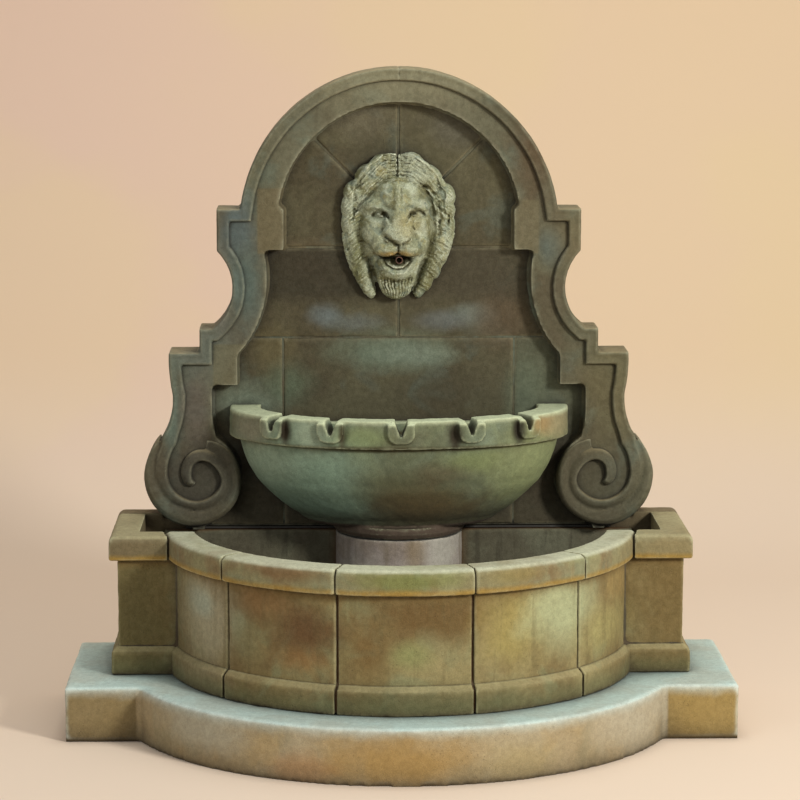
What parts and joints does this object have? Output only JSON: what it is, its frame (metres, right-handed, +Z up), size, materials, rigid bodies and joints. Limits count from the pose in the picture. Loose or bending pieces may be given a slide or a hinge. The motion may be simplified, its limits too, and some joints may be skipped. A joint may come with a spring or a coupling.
{
  "type": "garden wall fountain",
  "caption": "Wall fountain of cast stone: arched back panel with a lion mask, half-round bowl with spout notches, bowed pool on a plinth, and a pump hidden in the pedestal.",
  "frame": {"origin": "on the ground under the middle of the bounding box", "axes": "+Z up, +Y to the wall behind, +X to the right of someone who faces the fountain"},
  "size_m": [1.4, 0.786, 1.382],
  "materials": {
    "plinth_stone": "cast stone with a pale green wash",
    "pool_stone": "ochre and green aged cast stone",
    "panel_stone": "dark brown and grey-green aged cast stone",
    "mask_stone": "pitted pale green cast stone",
    "bowl_stone": "green patina on cast stone",
    "pedestal_stone": "pinkish grey cast stone",
    "rubber": "matt black rubber",
    "bush_rubber": "moulded rubber",
    "stainless_steel": "brushed stainless steel",
    "copper": "dull copper tube",
    "brass": "machined brass",
    "grey_plastic": "grey moulded plastic",
    "clear_vinyl": "clear vinyl hose",
    "black_plastic": "black moulded plastic",
    "rotor_plastic": "plastic-bonded magnet and impeller",
    "shaft_ceramic": "ground ceramic"
  },
  "bodies": {
    "fountain": {"plinth_slab": "plinth_stone", "pool_basin": "pool_stone", "coping_bow_left_outer": "pool_stone", "coping_bow_left_inner": "pool_stone", "coping_bow_centre": "pool_stone", "coping_bow_right_inner": "pool_stone", "coping_bow_right_outer": "pool_stone", "coping_arm_left": "pool_stone", "coping_arm_right": "pool_stone", "coping_return_left": "pool_stone", "coping_return_right": "pool_stone", "back_panel": "panel_stone", "lion_mask": "mask_stone", "bowl": "bowl_stone", "pedestal": "pedestal_stone", "panel_bedding_strip": "rubber", "bowl_pad": "rubber", "spout_washer": "rubber", "cord_grommet": "rubber", "pump_suction_feet": "rubber", "rear_bush": "bush_rubber", "front_bush": "bush_rubber", "bowl_dowels": "stainless_steel", "mask_studs": "stainless_steel", "mask_stud_washers": "stainless_steel", "mask_stud_nuts": "stainless_steel", "hose_clamps": "stainless_steel", "clip_screws": "stainless_steel", "wall_hanger_plates": "stainless_steel", "hanger_screws": "stainless_steel", "spout_tube": "copper", "spout_nut": "brass", "drain_fitting": "brass", "hose_elbow": "grey_plastic", "hose_clips": "grey_plastic", "pump_nozzle": "grey_plastic", "supply_hose": "clear_vinyl", "pump_motor_housing": "black_plastic", "pump_volute": "black_plastic", "pump_cord_gland": "black_plastic", "pump_shaft": "shaft_ceramic"},
    "rotor": {"pump_rotor": "rotor_plastic"},
    "cover": {"strainer_cover": "black_plastic"},
    "dial": {"flow_dial": "grey_plastic"},
    "plug": {"drain_plug": "rubber"}
  },
  "joints": [
    {"name": "rotor_spin", "type": "hinge", "parent": "fountain", "child": "rotor", "pos_m": [0, 0.271, 0.194], "axis": [1, 0, 0], "continuous": true},
    {"name": "cover_slide", "type": "slide", "parent": "fountain", "child": "cover", "axis": [1, 0, 0], "range_m": [0, 0.03]},
    {"name": "dial_turn", "type": "hinge", "parent": "cover", "child": "dial", "pos_m": [0.03, 0.271, 0.194], "axis": [1, 0, 0], "range_deg": [0, 90]},
    {"name": "plug_lift", "type": "slide", "parent": "fountain", "child": "plug", "axis": [0, 0, 1], "range_m": [0, 0.06]}
  ]
}
